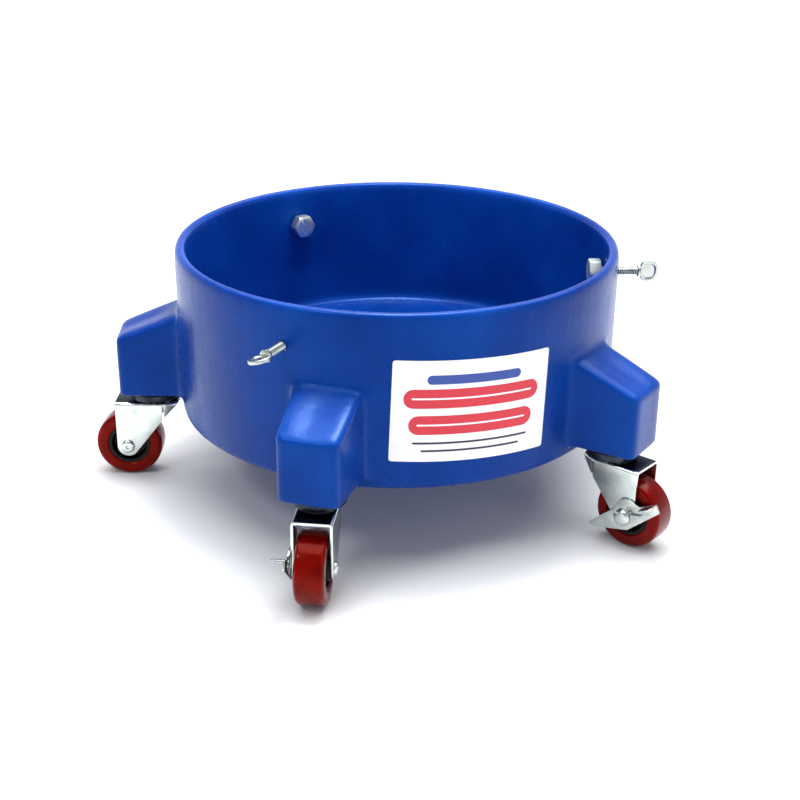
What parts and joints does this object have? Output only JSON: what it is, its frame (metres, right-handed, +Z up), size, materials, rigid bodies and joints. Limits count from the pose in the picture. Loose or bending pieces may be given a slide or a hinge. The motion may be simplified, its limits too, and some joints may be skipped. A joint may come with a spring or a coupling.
{
  "type": "bucket dolly",
  "caption": "Low round bucket dolly: a plastic ring with a floor, hollow outrigger pods on swivel casters, side brakes and thumb screws that clamp the bucket.",
  "frame": {"origin": "middle of the seat, the floor's upper face that the bucket stands on", "axes": "+Z up along the ring's axis; +X towards caster pod 1, pods follow every 72 degrees anticlockwise from above"},
  "size_m": [0.4253, 0.4508, 0.1878],
  "materials": {
    "blue_plastic": "rotationally moulded polyethylene, soft gloss",
    "label_paper": "white vinyl sticker with plain colour bands",
    "zinc_plate": "bright zinc plated pressed steel",
    "bearing_steel": "plain bright steel",
    "brass": "turned brass",
    "black_plastic": "black moulded polypropylene",
    "red_polyurethane": "glossy dark red cast polyurethane"
  },
  "bodies": {
    "dolly": {"dolly_body": "blue_plastic", "label": "label_paper", "screw_insert_1": "brass", "screw_insert_2": "brass", "screw_insert_3": "brass", "stem_insert_1": "brass", "caster_stem_1": "zinc_plate", "race_cap_1": "zinc_plate", "ball_ring_1": "bearing_steel", "stem_insert_2": "brass", "caster_stem_2": "zinc_plate", "race_cap_2": "zinc_plate", "ball_ring_2": "bearing_steel", "stem_insert_3": "brass", "caster_stem_3": "zinc_plate", "race_cap_3": "zinc_plate", "ball_ring_3": "bearing_steel", "stem_insert_4": "brass", "caster_stem_4": "zinc_plate", "race_cap_4": "zinc_plate", "ball_ring_4": "bearing_steel", "stem_insert_5": "brass", "caster_stem_5": "zinc_plate", "race_cap_5": "zinc_plate", "ball_ring_5": "bearing_steel"},
    "clamp_1": {"clamp_foot_1": "zinc_plate"},
    "screw_1": {"thumb_screw_1": "zinc_plate"},
    "clamp_2": {"clamp_foot_2": "zinc_plate"},
    "screw_2": {"thumb_screw_2": "zinc_plate"},
    "clamp_3": {"clamp_foot_3": "zinc_plate"},
    "screw_3": {"thumb_screw_3": "zinc_plate"},
    "swivel_1": {"fork_1": "zinc_plate", "axle_1": "zinc_plate", "axle_bush_1": "bearing_steel"},
    "wheel_1": {"wheel_core_1": "black_plastic", "tread_1": "red_polyurethane"},
    "brake_1": {"brake_lever_1": "zinc_plate"},
    "swivel_2": {"fork_2": "zinc_plate", "axle_2": "zinc_plate", "axle_bush_2": "bearing_steel"},
    "wheel_2": {"wheel_core_2": "black_plastic", "tread_2": "red_polyurethane"},
    "swivel_3": {"fork_3": "zinc_plate", "axle_3": "zinc_plate", "axle_bush_3": "bearing_steel"},
    "wheel_3": {"wheel_core_3": "black_plastic", "tread_3": "red_polyurethane"},
    "swivel_4": {"fork_4": "zinc_plate", "axle_4": "zinc_plate", "axle_bush_4": "bearing_steel"},
    "wheel_4": {"wheel_core_4": "black_plastic", "tread_4": "red_polyurethane"},
    "swivel_5": {"fork_5": "zinc_plate", "axle_5": "zinc_plate", "axle_bush_5": "bearing_steel"},
    "wheel_5": {"wheel_core_5": "black_plastic", "tread_5": "red_polyurethane"},
    "brake_5": {"brake_lever_5": "zinc_plate"}
  },
  "joints": [
    {"name": "clamp_slide_1", "type": "slide", "parent": "dolly", "child": "clamp_1", "axis": [-0.8121, -0.5835, 0], "range_m": [-0.0015, 0.015]},
    {"name": "screw_turn_1", "type": "hinge", "parent": "clamp_1", "child": "screw_1", "pos_m": [0.13399, 0.09628, 0.0779], "axis": [-0.8121, -0.5835, 0], "range_deg": [-429, 4255]},
    {"name": "clamp_slide_2", "type": "slide", "parent": "dolly", "child": "clamp_2", "axis": [0.9092, -0.4163, 0], "range_m": [-0.0015, 0.015]},
    {"name": "screw_turn_2", "type": "hinge", "parent": "clamp_2", "child": "screw_2", "pos_m": [-0.15002, 0.06869, 0.0743], "axis": [0.9092, -0.4163, 0], "range_deg": [-429, 4255]},
    {"name": "clamp_slide_3", "type": "slide", "parent": "dolly", "child": "clamp_3", "axis": [-0.1115, 0.9938, 0], "range_m": [-0.0015, 0.015]},
    {"name": "screw_turn_3", "type": "hinge", "parent": "clamp_3", "child": "screw_3", "pos_m": [0.01839, -0.16397, 0.0746], "axis": [-0.1115, 0.9938, 0], "range_deg": [-429, 4255]},
    {"name": "swivel_turn_1", "type": "hinge", "parent": "dolly", "child": "swivel_1", "pos_m": [0.185, 0, -0.0224], "axis": [0, 0, 1], "continuous": true},
    {"name": "wheel_spin_1", "type": "hinge", "parent": "swivel_1", "child": "wheel_1", "pos_m": [0.20584, -0.00256, -0.0588], "axis": [0.1219, 0.9925, 0], "continuous": true},
    {"name": "brake_press_1", "type": "hinge", "parent": "swivel_1", "child": "brake_1", "pos_m": [0.20584, -0.00256, -0.0588], "axis": [0.1219, 0.9925, 0], "range_deg": [0, 24]},
    {"name": "swivel_turn_2", "type": "hinge", "parent": "dolly", "child": "swivel_2", "pos_m": [0.05717, 0.17594, -0.0224], "axis": [0, 0, 1], "continuous": true},
    {"name": "wheel_spin_2", "type": "hinge", "parent": "swivel_2", "child": "wheel_2", "pos_m": [0.05534, 0.19687, -0.0588], "axis": [-0.9962, -0.0872, 0], "continuous": true},
    {"name": "swivel_turn_3", "type": "hinge", "parent": "dolly", "child": "swivel_3", "pos_m": [-0.14967, 0.10874, -0.0224], "axis": [0, 0, 1], "continuous": true},
    {"name": "wheel_spin_3", "type": "hinge", "parent": "swivel_3", "child": "wheel_3", "pos_m": [-0.15754, 0.12821, -0.0588], "axis": [-0.9272, -0.3746, 0], "continuous": true},
    {"name": "swivel_turn_4", "type": "hinge", "parent": "dolly", "child": "swivel_4", "pos_m": [-0.14967, -0.10874, -0.0224], "axis": [0, 0, 1], "continuous": true},
    {"name": "wheel_spin_4", "type": "hinge", "parent": "swivel_4", "child": "wheel_4", "pos_m": [-0.16728, -0.12018, -0.0588], "axis": [0.5446, -0.8387, 0], "continuous": true},
    {"name": "swivel_turn_5", "type": "hinge", "parent": "dolly", "child": "swivel_5", "pos_m": [0.05717, -0.17594, -0.0224], "axis": [0, 0, 1], "continuous": true},
    {"name": "wheel_spin_5", "type": "hinge", "parent": "swivel_5", "child": "wheel_5", "pos_m": [0.0667, -0.19466, -0.0588], "axis": [0.891, 0.454, 0], "continuous": true},
    {"name": "brake_press_5", "type": "hinge", "parent": "swivel_5", "child": "brake_5", "pos_m": [0.0667, -0.19466, -0.0588], "axis": [0.891, 0.454, 0], "range_deg": [0, 24]}
  ],
  "couplings": [
    {"joint": "screw_turn_1", "follows": "clamp_slide_1", "rad_per_m": 4947.4},
    {"joint": "screw_turn_2", "follows": "clamp_slide_2", "rad_per_m": 4947.4},
    {"joint": "screw_turn_3", "follows": "clamp_slide_3", "rad_per_m": 4947.4}
  ]
}
